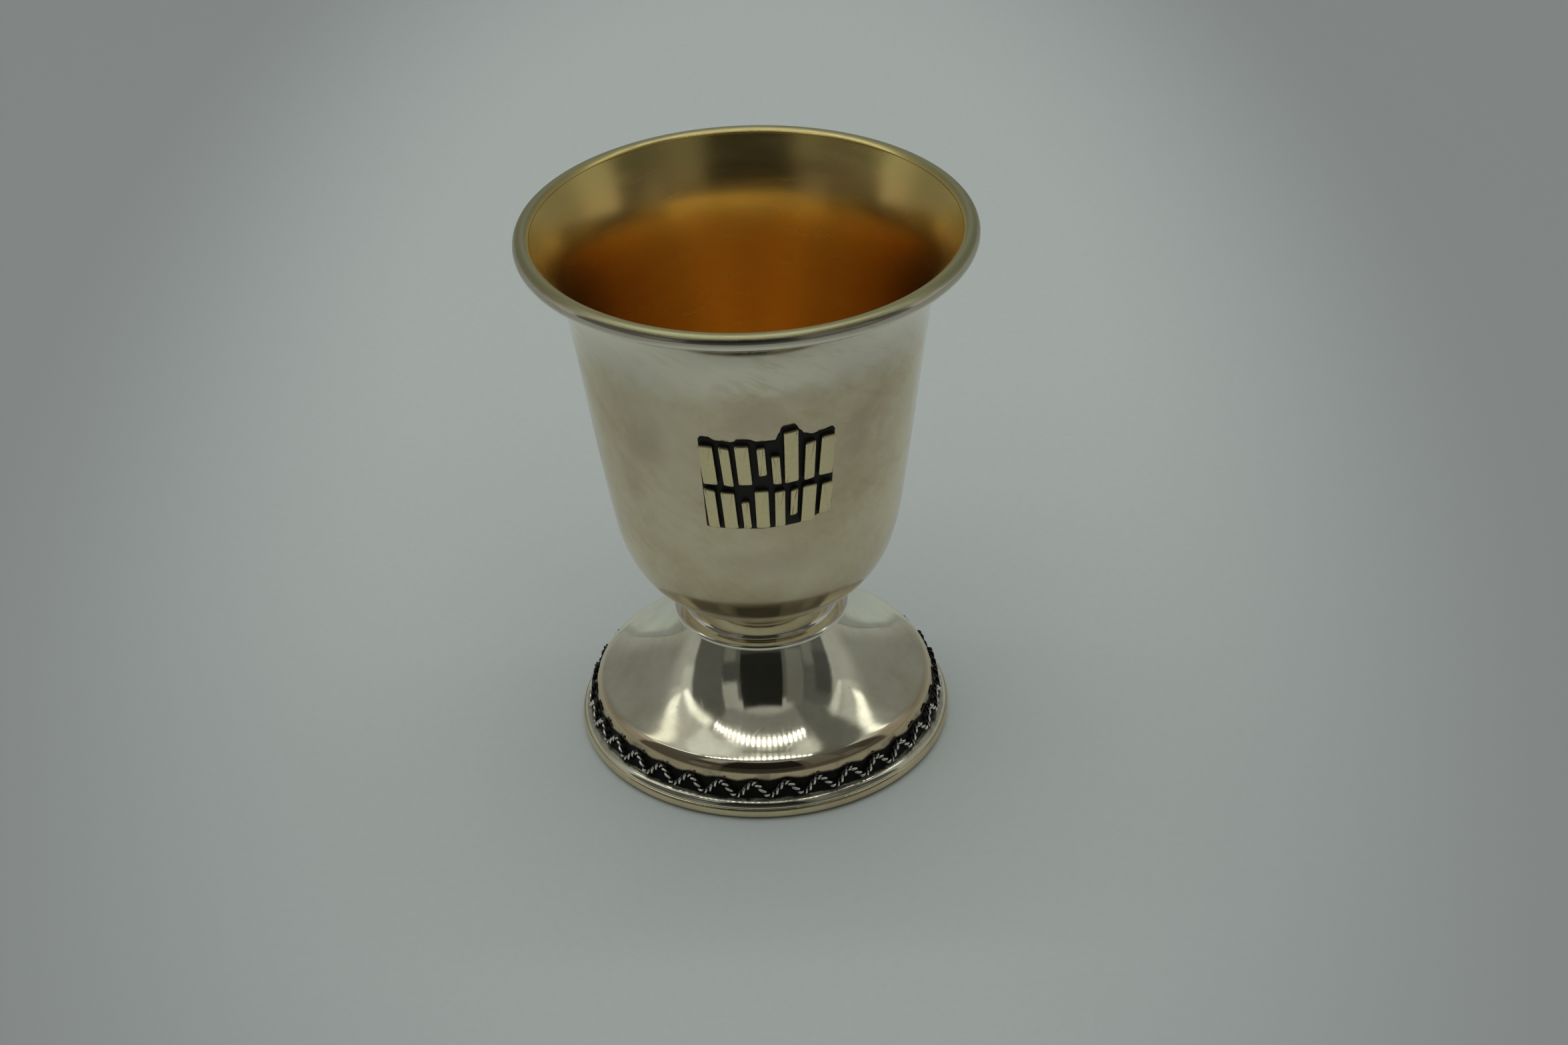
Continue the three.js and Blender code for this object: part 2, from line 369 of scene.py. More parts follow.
bowl = {
    "outline": [
        (6.3, 18.35), (7.6, 18.95), (9.12, 20.0), (11.33, 21.5), (13.73, 23.0), (15.45, 25.0),
        (16.85, 27.5), (17.95, 31.0), (18.71, 36.0), (19.53, 42.0), (20.46, 49.0), (21.37, 56.0),
        (22.15, 62.0), (23.0, 65.4), (24.4, 68.0), (25.4, 69.1), (26.17, 69.88),
    ],
    "inside": [
        (25.97, 71.28), (24.6, 69.3), (23.7, 67.9), (22.55, 65.7), (21.5, 62.1), (20.77, 56.0),
        (19.86, 49.0), (18.93, 42.0), (18.11, 36.1), (17.35, 31.2), (16.22, 27.8), (14.85, 25.4),
        (13.3, 23.6), (11.0, 22.0), (8.6, 20.7), (6.0, 19.7), (3.0, 19.15), (0.0, 19.0),
    ],
    "beadCentre": (26.9, 70.7),
    "beadRadius": 1.1,
    "beadSweep": (-128, 148, 44),  # round the bead's section in degrees, from, to and steps
    "gildStart": 104.0,  # where the gilding starts on the bead, degrees round its section
    "gildFull": 150.0,
    "silver": {
        "clean": (0.755, 0.668, 0.47, 1), "film": (0.56, 0.435, 0.262, 1),
        "amount": 0.75, "patchSize": 75.0, "fineness": 7000.0, "seed": 1.3,
        "pits": 0.0, "roughness": 0.085, "filmRoughness": 0.08,
        "haze": 0.05, "hairlines": 0.08, "lines": 0.8, "waves": 0.02, "grain": 0.5,
    },
    # stains on the wall: place round the bowl and height in mm, half sizes, strength
    "stains": [
        (1.0, 49.0, 13.0, 12.0, 0.5),
        (0.5, 57.5, 5.0, 4.2, 0.65), (5.5, 60.0, 3.5, 2.2, 0.45), (-13.5, 51.5, 4.5, 5.0, 0.6),
        (-17.0, 45.0, 3.0, 4.0, 0.5), (2.0, 35.5, 8.0, 3.0, 0.5), (13.0, 52.0, 2.5, 6.0, 0.35),
        (-30.0, 47.0, 6.0, 7.0, 0.6), (32.0, 44.0, 7.0, 5.0, 0.6), (54.0, 50.0, 6.0, 5.0, 0.6),
    ],
    "frontRadius": 20.35,  # of the wall at the plaque's height
    "stainTop": (65.5, 61.0),  # no stain above the first height, all of it below the second
    "stain": (0.545, 0.445, 0.33, 1),
    "stainRoughness": 0.05,
    "underRimShade": (0.12, 0.09, 0.065, 1),  # painted shade: a dark band under the rolled rim
    "underRimShadeAmount": 0.92,
    "fresh": (0.86, 0.82, 0.695, 1),  # cleaner band below the rim
    "freshBand": (58.0, 63.0),
    "freshAmount": 0.7,
    "washStart": 18.0,  # thin gold wash over the rolled rim, degrees in the same way
    "washFull": 62.0,
    "wash": (0.47, 0.455, 0.25, 1),
    "streaks": 0.4,  # wipe marks of a polishing cloth
    "washRoughness": 0.36,
    "gold": (0.95, 0.66, 0.225, 1),
    "freshGold": (0.96, 0.68, 0.255, 1),
    "paleGold": (0.80, 0.64, 0.23, 1),  # thinner gilding near the rim
    "paleBand": (66.5, 71.2),
    "goldRoughness": 0.24,
    "goldHaze": 0.04,
    "goldLines": 0.0003,
}


def buildBowl():
    outside = [(0.0, bowl["outline"][0][1])] + smoothCurve(bowl["outline"], 8)
    first, last, steps = bowl["beadSweep"]
    bead = roundEdge(bowl["beadCentre"], bowl["beadRadius"], first, last, steps)
    inside = smoothCurve(bowl["inside"], 8)
    profile = outside + bead + inside[1:]
    gild, wash = [0.0] * len(outside), [0.0] * len(outside)
    for i in range(len(bead)):
        angle = first + (last - first) * i / steps
        for marks, start, full in ((gild, "gildStart", "gildFull"), (wash, "washStart", "washFull")):
            t = (angle - bowl[start]) / (bowl[full] - bowl[start])
            marks.append(min(max(t, 0.0), 1.0))
    gild += [1.0] * (len(inside) - 1)
    wash += [1.0] * (len(inside) - 1)
    return spin("bowlMetal", profile, 256, marks={"gild": gild, "wash": wash})


def buildStains():
    # soft brown clouds at fixed places on the wall, broken up by noise
    g, given, out = newGroup("wallStains", [("Break Up", "Float", 0.5)], [("Mask", "Float")])
    x, y, z = g.split(g.position())
    turn = g.turn(x, y)
    cloud = g.times(g.less(g.noise(g.position(), 210.0, 4.0, 0.6), 0.5), given["Break Up"])
    total = 0.0
    for around, height, wide, tall, strength in bowl["stains"]:
        u = g.math("MULTIPLY_ADD", turn, bowl["frontRadius"] / wide, -around / wide)
        v = g.math("MULTIPLY_ADD", z, 1.0 / (tall * mm), -height / tall)
        away = g.length(u, v)
        spot = g.ramp(g.add(away, cloud), 0.25, 1.15, strength, 0.0)
        total = g.math("MAXIMUM", spot, total)
    g.put(out["Mask"], g.times(total, g.ramp(z, *inMm(bowl["stainTop"]))))
    return g.tree


def buildUnderRimShade():
    # painted shade: a dark patchy band under the rolled rim
    inputs = [("Height", "Float", 0.0692), ("Depth", "Float", 0.0011)]
    g, given, out = newGroup("underRimShadeBand", inputs, [("Mask", "Float")])
    x, y, z = g.split(g.position())
    away = g.math("ABSOLUTE", g.less(z, given["Height"]))
    band = g.ramp(g.math("DIVIDE", away, given["Depth"]), 0.2, 1.0, 1.0, 0.0)
    radius = g.length(x, y)
    outer = g.ramp(radius, 24.9 * mm, 25.2 * mm)
    patchy = g.ramp(g.noise(g.position(), 420.0, 4.0, 0.65), 0.5, 0.62)
    g.put(out["Mask"], g.times(g.times(band, outer), patchy))
    return g.tree


def gildedBowlMaterial():
    look = bowl["silver"]
    material, g, shader, colour, rough, normal = polishedSilver("gildedSilver", look)
    lathe = useGroup(g, turnedLines, {"Fineness": 5200.0, "Length": 1.2, "Seed": 4.0})
    wear = g.times(g.less(g.noise(g.position(), 420.0, 4.0, 0.6), 0.5), 0.5)
    gilt = g.ramp(g.add(g.times(g.mark("gild"), 1.4), wear), 0.18, 0.95)
    wash = g.ramp(g.add(g.mark("wash"), wear), 0.1, 0.9)
    stains = useGroup(g, buildStains(), {"Break Up": 0.9})["Mask"]
    underRimShade = useGroup(g, buildUnderRimShade())["Mask"]
    bare = g.less(1.0, g.mark("wash"))
    height = g.split(g.position())[2]
    uneven = g.math("MULTIPLY_ADD", wear, 0.012, height)
    fresh = g.times(g.ramp(uneven, *inMm(bowl["freshBand"])), bowl["freshAmount"])
    silver = g.mix(g.times(fresh, bare), colour, bowl["fresh"])
    silver = g.mix(g.times(stains, bare), silver, bowl["stain"])
    wiped = g.times(useGroup(g, wipeMarks, {"Seed": 2.0})["Mask"], g.times(bare, bowl["streaks"]))
    silver = g.mix(wiped, silver, bowl["silver"]["film"])
    # painted shade under the rolled rim, on the bare silver only
    silver = g.mix(g.times(g.times(underRimShade, bare), bowl["underRimShadeAmount"]), silver, bowl["underRimShade"])
    silver = g.mix(wash, silver, bowl["wash"])
    broad = g.noise(g.position(), 60.0, 3.0, 0.55)
    gold = g.mix(g.ramp(broad, 0.35, 0.7), bowl["gold"], bowl["freshGold"])
    gold = g.mix(g.ramp(height, *inMm(bowl["paleBand"])), gold, bowl["paleGold"])
    g.put(shader["Base Color"], g.mix(gilt, silver, gold))
    goldRough = g.add(bowl["goldRoughness"], g.times(g.ramp(lathe["Haze"], 0.4, 0.75), bowl["goldHaze"]))
    rough = g.add(rough, g.times(stains, bowl["stainRoughness"]))
    rough = g.blend(wash, rough, bowl["washRoughness"])
    g.put(shader["Roughness"], g.blend(gilt, rough, goldRough))
    satin = g.bump(lathe["Lines"], bowl["goldLines"] * mm)
    choose = g.node("ShaderNodeMix", data_type="VECTOR")
    for socket, value in zip((choose.inputs[0], choose.inputs[4], choose.inputs[5]), (gilt, normal, satin)):
        g.put(socket, value)
    g.put(shader["Normal"], choose.outputs[1])
    return material


bowlPiece = buildBowl()
bowlPiece.data.materials.append(gildedBowlMaterial())
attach(bowlPiece, "root")
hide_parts("bowl")
print("bowl built")


collar = {
    "flange": 11.3,
    "flangeBottom": 16.9,
    "hub": 9.9,
    "edge": 0.4,
    # flange top, groove, domed step and the dish under the bowl
    "upper": [
        (11.05, 17.68), (10.72, 17.77), (10.35, 17.83), (10.05, 17.85), (9.92, 17.87), (9.86, 17.95),
        (9.80, 18.1), (9.62, 18.28), (9.3, 18.46), (8.9, 18.63), (8.4, 18.82), (7.9, 19.0), (7.72, 19.05),
    ],
    "seat": [(7.0, 18.7), (6.4, 18.35), (0.0, 18.35)],
    "silver": {
        "clean": (0.955, 0.92, 0.80, 1), "film": (0.80, 0.71, 0.54, 1), "amount": 0.35, "patchSize": 160.0,
        "fineness": 9000.0, "seed": 2.1, "pits": 0.9, "roughness": 0.05, "filmRoughness": 0.05,
        "haze": 0.03, "hairlines": 0.08, "lines": 0.6, "waves": 0.012, "grain": 0.3,
    },
}


def buildCollar():
    low, edge = collar["flangeBottom"], collar["edge"]
    profile = [(0.0, low), (collar["hub"], low)]
    profile += roundEdge((collar["flange"] - edge, low + edge), edge, -90, 66, 20)
    profile += smoothCurve(collar["upper"], 5) + collar["seat"]
    return spin("collarMetal", profile, 224)


collarPiece = buildCollar()
collarPiece.data.materials.append(polishedSilver("collarSilver", collar["silver"])[0])
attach(collarPiece, "root")
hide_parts("collar")
print("collar built")


foot = {
    "sweep": [
        (10.34, 16.9), (10.64, 16.33), (11.15, 15.46), (11.71, 14.61), (12.31, 13.79), (12.96, 13.01),
        (13.66, 12.27), (14.40, 11.56), (15.18, 10.89), (16.0, 10.24), (16.85, 9.61), (17.72, 9.01),
        (18.63, 8.44), (19.56, 7.89), (20.3, 7.485),
    ],
    "shoulderCentre": (19.71, 5.056),
    "shoulder": 2.4,
    "shoulderStart": 57.5,
    "lipCentre": (22.9, 1.43),
    "lip": 1.0,
    "seat": 1.6,
    "inner": 22.25,
    "wall": 0.75,
    "border": (2.62, 2.9, 3.4, 3.9, 4.4, 4.9, 5.3),  # heights up the nearly upright wall
    "insideFoot": [(21.35, 5.4), (21.9, 2.6), (22.2, 2.1)],
    "outerWall": (21.9, 21.95),  # oxide lies only outside these radii
    "edgeFilm": (0.64, 0.50, 0.31, 1),  # browner film between the shoulder and the black border
    "edgeAmount": 0.9,
    "edgeTop": (7.3, 6.4),  # heights where that film starts and is full, and the same below
    "edgeLow": (4.2, 4.4),
    "brushed": 0.03,  # extra roughness on the lower part of the sweep
    "brushedInner": (14.5, 19.0),  # radii where it starts and is full, and the same outside
    "brushedOuter": (21.6, 20.8),
    "specular": 0.12,
    "smudge": (0.09, 0.10, 0.105, 1),
    "smudgeAmount": 0.55,
    "soot": ((0.004, 0.004, 0.0035, 1), (0.012, 0.011, 0.009, 1)),
    "sootRoughness": 0.42,
    "silver": {
        "clean": (0.885, 0.87, 0.70, 1), "film": (0.61, 0.57, 0.38, 1), "amount": 0.6, "patchSize": 100.0,
        "fineness": 8000.0, "seed": 3.4, "pits": 0.5, "roughness": 0.035, "filmRoughness": 0.05,
        "haze": 0.05, "hairlines": 0.08, "lines": 2.0, "waves": 0.016, "grain": 0.75,
    },
}

wave = {
    "count": 34,
    "middle": 3.93,
    "reach": 0.85,
    "turn": -4.4,
    "strand": 0.2,
    "twists": 3.5,  # full turns of the pair in each wave
    "samples": 60,
    "sides": 10,
    "clearance": 0.02,
    "silver": ((0.90, 0.86, 0.76, 1), (0.97, 0.95, 0.90, 1)),
    "oxide": (0.012, 0.011, 0.009, 1),
    "dips": (3.55, 2.75),  # oxide stays in the dips, none above the first height
    "dipOxide": 0.55,
    "rubbedAndLit": (0.4, 0.64),  # how far out the strands are rubbed bright and painted lit, from none to all
}


def borderRadius(z):
    top = roundEdge(foot["shoulderCentre"], foot["shoulder"], 16.4, 16.4, 1)[0]
    low = roundEdge(foot["lipCentre"], foot["lip"], 100, 100, 1)[0]
    return top[0] + (low[0] - top[0]) * (top[1] - z) / (top[1] - low[1])


def buildFoot():
    outside = [(foot["inner"], foot["seat"]), (foot["lipCentre"][0] + foot["lip"] - 0.05, foot["seat"])]
    outside += roundEdge(foot["lipCentre"], foot["lip"], 11, 94, 22)
    outside += [(borderRadius(z), z) for z in foot["border"]]
    shoulder = roundEdge(foot["shoulderCentre"], foot["shoulder"], foot["shoulderStart"], 16.4, 7)
    upper = smoothCurve(foot["sweep"] + shoulder, 6)
    outside += upper[::-1]
    inside = []
    for n in range(8, len(upper) - 6, 7):
        along = (Vector(upper[n + 1]) - Vector(upper[n - 1])).normalized()
        inside.append((upper[n][0] + along.y * foot["wall"], upper[n][1] - along.x * foot["wall"]))
    top = upper[0]
    inside = [(top[0] - foot["wall"], top[1])] + inside + foot["insideFoot"]
    return spin("footMetal", outside + inside, 256, closed=True)


def borderBlack():
    # oxide left in the border: a wavy upper edge that follows the wire, a smudged lower one
    g, given, out = newGroup(
        "borderOxide",
        [("Top", "Float", 5.12), ("Dip", "Float", 0.26), ("Bottom", "Float", 2.42), ("Blur", "Float", 0.2)],
        [("Mask", "Float"), ("Smudge", "Float")],
    )
    x, y, z = g.split(g.position())
    turn = g.turn(x, y)
    phase = g.times(g.less(turn, math.radians(wave["turn"])), float(wave["count"]))
    crest = g.math("POWER", g.math("MULTIPLY_ADD", g.math("COSINE", phase), 0.5, 0.5), 0.6)
    ragged = g.less(g.noise(g.position(), 480.0, 3.0, 0.6), 0.5)
    height = g.add(g.times(z, 1 / mm), g.times(ragged, 0.5))
    top = g.less(given["Top"], g.times(g.less(1.0, crest), given["Dip"]))
    under = g.ramp(height, g.less(top, given["Blur"]), g.add(top, given["Blur"]), 1.0, 0.0)
    low = given["Bottom"]
    over = g.ramp(height, g.less(low, 0.14), g.add(low, 0.10))
    outer = g.ramp(g.times(z, 1 / mm), 5.9, 5.6)
    g.put(out["Mask"], g.times(under, over))
    smear = g.ramp(height, g.less(low, 0.75), g.add(low, 0.1))
    patchy = g.ramp(g.noise(g.position(), 300.0, 4.0, 0.65), 0.45, 0.7)
    g.put(out["Smudge"], g.times(g.times(smear, patchy), outer))
    return g.tree


def footMaterial():
    material, g, shader, colour, rough, normal = polishedSilver("footSilver", foot["silver"])
    oxide = useGroup(g, borderBlack())
    x, y, z = g.split(g.position())
    radius = g.length(x, y)
    outerWall = g.ramp(radius, *inMm(foot["outerWall"]), smooth=False)
    smudge = g.times(g.times(oxide["Smudge"], outerWall), foot["smudgeAmount"])
    black = g.times(oxide["Mask"], outerWall)
    inner, outer = (g.ramp(radius, *inMm(foot[key])) for key in ("brushedInner", "brushedOuter"))
    brushed = g.times(inner, outer)
    rough = g.add(rough, g.times(brushed, foot["brushed"]))
    edge = g.times(g.ramp(z, *inMm(foot["edgeTop"])), g.ramp(z, *inMm(foot["edgeLow"])))
    colour = g.mix(g.times(edge, foot["edgeAmount"]), colour, foot["edgeFilm"])
    colour = g.mix(smudge, colour, foot["smudge"])
    soot = g.mix(g.noise(g.position(), 900.0, 3.0), *foot["soot"])
    g.put(shader["Base Color"], g.mix(black, colour, soot))
    g.put(shader["Roughness"], g.blend(black, rough, foot["sootRoughness"]))
    g.put(shader["Metallic"], g.less(1.0, black))
    shader["Specular IOR Level"].default_value = foot["specular"]
    return material


footPiece = buildFoot()
footPiece.data.materials.append(footMaterial())
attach(footPiece, "root")
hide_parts("foot")
print("foot built")


ring = {
    "centre": (23.18, 1.0),
    "round": 1.0,
    "inner": 22.25,
    "top": 1.6,
    "silver": {
        "clean": (0.78, 0.67, 0.45, 1), "film": (0.55, 0.43, 0.26, 1), "amount": 0.5, "patchSize": 120.0,
        "fineness": 6000.0, "seed": 5.2, "pits": 0.4, "roughness": 0.14, "filmRoughness": 0.1,
        "haze": 0.04, "hairlines": 0.08, "lines": 0.4, "waves": 0.012, "grain": 0.4,
    },
}


def buildBaseRing():
    profile = [(ring["inner"], 0.0), (22.9, 0.0)]
    profile += roundEdge(ring["centre"], ring["round"], -88, 34, 30)
    profile += [(23.96, ring["top"] - 0.005), (23.6, ring["top"]), (ring["inner"], ring["top"])]
    return spin("baseRingMetal", profile, 256, closed=True)


ringPiece = buildBaseRing()
ringPiece.data.materials.append(polishedSilver("ringSilver", ring["silver"])[0])
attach(ringPiece, "root")
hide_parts("base_ring")
print("base ring built")


def wavePath(turn):
    z = wave["middle"] + wave["reach"] * math.cos(wave["count"] * (turn - math.radians(wave["turn"])))
    r = borderRadius(z) + wave["strand"] * 2 + wave["clearance"]
    return Vector((r * math.sin(turn), -r * math.cos(turn), z))


def buildWave():
    steps = wave["count"] * wave["samples"]
    sides = wave["sides"]
    verts, faces, litAndRubbedSide = [], [], []
    for strand in (0, 1):
        base = len(verts)
        for i in range(steps):
            turn = 2 * math.pi * i / steps
            centre = wavePath(turn)
            along = (wavePath(turn + 1e-4) - wavePath(turn - 1e-4)).normalized()
            outward = Vector((centre.x, centre.y, 0.0)).normalized()
            across = along.cross(outward).normalized()
            outward = across.cross(along).normalized()
            lay = -wave["twists"] * wave["count"] * turn + math.pi * strand
            middle = centre + (outward * math.cos(lay) + across * math.sin(lay)) * wave["strand"]
            for j in range(sides):
                a = 2 * math.pi * j / sides
                p = middle + (outward * math.cos(a) + across * math.sin(a)) * wave["strand"]
                verts.append(p * mm)
                # painted light: how far each point faces outwards, later making outer faces bright silver
                # and inner faces dark, along with real oxide between the strands
                litAndRubbedSide.append((p - centre).dot(outward) / (2 * wave["strand"]))
        for i in range(steps):
            for j in range(sides):
                a = base + i * sides + j
                b = base + i * sides + (j + 1) % sides
                c = base + ((i + 1) % steps) * sides + (j + 1) % sides
                d = base + ((i + 1) % steps) * sides + j
                faces.append((a, b, c, d))
    return makeMesh("waveWire", verts, faces, {"height": litAndRubbedSide})


def waveMaterial():
    material, g, shader = newMaterial("twistedWire")
    clean = g.mix(g.noise(g.position(), 900.0, 3.0), *wave["silver"])
    spread = g.times(g.less(g.noise(g.position(), 1500.0, 3.0), 0.5), 0.5)
    height = g.split(g.position())[2]
    low = g.ramp(height, *inMm(wave["dips"]), 0.0, wave["dipOxide"])
    # outer faces painted lit silver and inner faces painted shade in oxide black, together with oxide kept
    # in the dips and crevices
    rubbedAndLit = g.ramp(g.less(g.add(g.mark("height"), spread), low), *wave["rubbedAndLit"])
    g.put(shader["Base Color"], g.mix(rubbedAndLit, wave["oxide"], clean))
    g.put(shader["Roughness"], g.math("MULTIPLY_ADD", rubbedAndLit, -0.2, 0.38))
    g.put(shader["Metallic"], rubbedAndLit)
    return material


wavePiece = buildWave()
wavePiece.data.materials.append(waveMaterial())
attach(wavePiece, "root")
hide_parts("wave_wire")
print("wire wave built")


plaque = {
    "turn": 4.8,  # degrees to the right of the front
    "ground": 0.16,
    "top": 0.82,
    "bevel": 0.16,
    "corner": 0.26,
    "step": 0.45,
    "columns": 150,
    "rows": 90,
    "rolled": 0.22,  # how far in the ground's edge rolls down
    "sunk": 0.06,  # how far its edge dips into the wall
    "silver": {
        "Clean": (0.79, 0.675, 0.40, 1), "Film": (0.66, 0.555, 0.315, 1),
        "Amount": 0.25, "Patch Size": 240.0,
    },
    "soot": ((0.006, 0.006, 0.005, 1), (0.03, 0.028, 0.022, 1)),
    "grain": 0.0004,
    "specular": 0.25,
    # outline of the blackened ground: place along the wall, lower and upper height
    "edge": [
        (-8.1, 41.0, 54.3), (-7.7, 40.85, 54.75), (-6.9, 40.8, 54.75), (-6.1, 40.85, 54.3),
        (-4.3, 40.8, 54.15), (-3.2, 40.9, 54.55), (-2.2, 40.85, 54.55), (-1.3, 40.8, 54.2),
        (0.8, 40.9, 54.25), (1.25, 40.95, 55.2), (1.55, 40.95, 56.05), (3.15, 41.05, 56.15),
        (3.7, 41.1, 55.3), (4.2, 41.2, 54.7), (5.2, 41.4, 54.35), (6.2, 41.8, 54.55),
        (7.6, 42.4, 54.75), (8.0, 43.2, 54.3),
    ],
    # upright strokes: left, right, low, high, sideways lean
    "strokes": [
        (-7.8, -6.1, 48.0, 53.7, -0.3), (-5.45, -4.25, 47.9, 53.6, -0.35), (-3.7, -2.1, 48.1, 53.9, -0.3),
        (-1.3, -0.35, 49.4, 53.55, -0.2), (0.3, 1.3, 48.0, 52.2, -0.2), (1.7, 3.35, 48.05, 55.6, -0.1),
        (4.05, 5.3, 48.1, 53.6, 0.1), (5.9, 7.65, 48.2, 53.9, 0.25), (-7.6, -6.25, 41.4, 47.2, -0.25),
        (-5.65, -4.0, 41.35, 46.9, -0.25), (-3.3, -2.35, 41.4, 45.5, -0.2), (-1.75, -0.1, 41.4, 47.1, -0.1),
        (0.55, 1.8, 41.4, 46.9, 0.0), (2.4, 3.3, 43.0, 46.9, 0.1), (3.8, 5.5, 41.6, 47.15, 0.2),
        (6.1, 7.55, 42.3, 46.9, 0.3),
    ],
}


def bowlRadiusAt(z):
    line = bowl["outline"]
    for a, b in zip(line, line[1:]):
        if z <= b[1]:
            return a[0] + (b[0] - a[0]) * (z - a[1]) / (b[1] - a[1])
    return line[-1][0]


def onBowl(along, z, off):
    turn = math.radians(plaque["turn"]) + along / bowl["frontRadius"]
    r = bowlRadiusAt(z) + off
    return (r * mm * math.sin(turn), -r * mm * math.cos(turn), z * mm)


def edgeAt(along):
    line = plaque["edge"]
    if along <= line[0][0]:
        return line[0][1:]
    for a, b in zip(line, line[1:]):
        if along <= b[0]:
            t = (along - a[0]) / (b[0] - a[0])
            t = t * t * (3 - 2 * t)
            return (a[1] + (b[1] - a[1]) * t, a[2] + (b[2] - a[2]) * t)
    return line[-1][1:]


def addGround(verts, faces, raised):
    # blackened ground: a thin skin with rolled-down edges and an uneven outline
    columns, rows = plaque["columns"], plaque["rows"]
    left, right = plaque["edge"][0][0], plaque["edge"][-1][0]
    base = len(verts)
    for i in range(columns + 1):
        u = i / columns
        along = left + (right - left) * u
        bottom, crown = edgeAt(along)
        for j in range(rows + 1):
            v = j / rows
            z = bottom + (crown - bottom) * v
            rim = min(along - left, right - along, z - bottom, crown - z)
            rise = math.sqrt(min(max(rim / plaque["rolled"], 0.0), 1.0))
            off = -plaque["sunk"] + (plaque["ground"] + plaque["sunk"]) * rise
            verts.append(onBowl(along, z, off))
            raised.append(0.0)
    for i in range(columns):
        for j in range(rows):
            a = base + i * (rows + 1) + j
            faces.append((a, a + rows + 1, a + rows + 2, a + 1))


def cleanAt(off, top, bevel):
    # 1 on a stroke's face, partly clean on its shoulder, 0 down its side
    if off > top - bevel * 0.9:
        return 1.0
    return 0.45 if off > top - bevel * 1.2 else 0.0


def addStroke(verts, faces, raised, corners, rng):
    # one plain raised bar with softened corners; corners in (along, height)
    outline = []
    count = len(corners)
    for i in range(count):
        before, here, after = (Vector(corners[(i + k) % count]) for k in (-1, 0, 1))
        cut = plaque["corner"]
        a = here + (before - here).normalized() * cut
        b = here + (after - here).normalized() * cut
        for t in (0.0, 0.33, 0.67, 1.0):
            outline.append(a * (1 - t) ** 2 + here * 2 * t * (1 - t) + b * t**2)
        pieces = max(int((after - here).length / plaque["step"]), 1)
        far = after + (here - after).normalized() * cut
        for k in range(1, pieces):
            outline.append(b + (far - b) * (k / pieces))
    centre = sum(outline, Vector((0, 0))) / len(outline)
    bevel, top = plaque["bevel"], plaque["top"] + rng.uniform(-0.04, 0.04)
    layers = [(0.0, plaque["ground"] - 0.05), (0.0, top - bevel * 1.1)]
    layers += [(bevel * (1 - math.cos(a)), top - bevel * (1 - math.sin(a))) for a in (0.4, 0.8, 1.2, 1.57)]
    layers += [(bevel * 1.8, top + 0.005)]
    rings = []
    for inset, off in layers:
        loop = []
        for n, q in enumerate(outline):
            before, after = outline[n - 1], outline[(n + 1) % len(outline)]
            side = (after - before).normalized()
            p = q + Vector((-side.y, side.x)) * inset
            loop.append(len(verts))
            verts.append(onBowl(p.x, p.y, off))
            raised.append(cleanAt(off, top, bevel))
        rings.append(loop)
    for low, high in zip(rings, rings[1:]):
        for n in range(len(outline)):
            m = (n + 1) % len(outline)
            faces.append((low[n], low[m], high[m], high[n]))
    hub = len(verts)
    verts.append(onBowl(centre.x, centre.y, top + 0.01))
    raised.append(1.0)
    last = rings[-1]
    for n in range(len(outline)):
        faces.append((last[n], last[(n + 1) % len(outline)], hub))


def buildPlaque():
    rng = random.Random(11)
    verts, faces, raised = [], [], []
    addGround(verts, faces, raised)
    for left, right, low, high, lean in plaque["strokes"]:
        low = max(low, edgeAt((left + right) / 2)[0] + 0.3)
        shift = lean / 2
        tilt = rng.uniform(-0.12, 0.12)
        corners = [
            (left - shift, low + tilt), (right - shift, low - tilt),
            (right + shift, high - tilt), (left + shift, high + tilt),
        ]
        addStroke(verts, faces, raised, corners, rng)
    return makeMesh("plaqueStrokes", verts, faces, {"raised": raised})


def plaqueMaterial():
    material, g, shader = newMaterial("blackenedPlaque")
    film = useGroup(g, silverTarnish, plaque["silver"])
    ragged = g.times(g.less(g.noise(g.position(), 1300.0, 3.0, 0.6), 0.5), 0.45)
    clean = g.ramp(g.add(g.mark("raised"), ragged), 0.35, 0.62)
    soot = g.mix(g.noise(g.position(), 700.0, 3.0), *plaque["soot"])
    g.put(shader["Base Color"], g.mix(clean, soot, film["Color"]))
    g.put(shader["Metallic"], clean)
    grain = g.noise(g.position(), 2600.0, 3.0, 0.65)
    g.put(shader["Roughness"], g.add(g.math("MULTIPLY_ADD", clean, -0.22, 0.46), g.times(grain, 0.08)))
    g.put(shader["Normal"], g.bump(grain, plaque["grain"] * mm))
    shader["Specular IOR Level"].default_value = plaque["specular"]
    return material


plaquePiece = buildPlaque()
plaquePiece.data.materials.append(plaqueMaterial())
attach(plaquePiece, "root")
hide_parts("plaque")
print("plaque built")


camera = {"aim": (3.275, 0.0, 28.953), "distance": 365.7, "elevation": 33.15, "roll": 2.056, "lens": 65.83}


def placeCamera():
    rise = math.radians(camera["elevation"])
    back = Vector((0.0, -math.cos(rise), math.sin(rise)))
    side = Vector((1.0, 0.0, 0.0))
    up = back.cross(side)
    tilt = math.radians(camera["roll"])
    sideTilted = side * math.cos(tilt) - up * math.sin(tilt)
    upTilted = side * math.sin(tilt) + up * math.cos(tilt)
    data = bpy.data.cameras.new("tableCamera")
    data.lens = camera["lens"]
    data.sensor_width = 36.0
    data.clip_start = 0.01
    obj = bpy.data.objects.new("tableCamera", data)
    scene.collection.objects.link(obj)
    turn = Matrix((sideTilted, upTilted, back)).transposed().to_4x4()
    place = (Vector(camera["aim"]) + back * camera["distance"]) * mm
    obj.matrix_world = Matrix.Translation(place) @ turn
    scene.camera = obj


placeCamera()
print("camera placed")


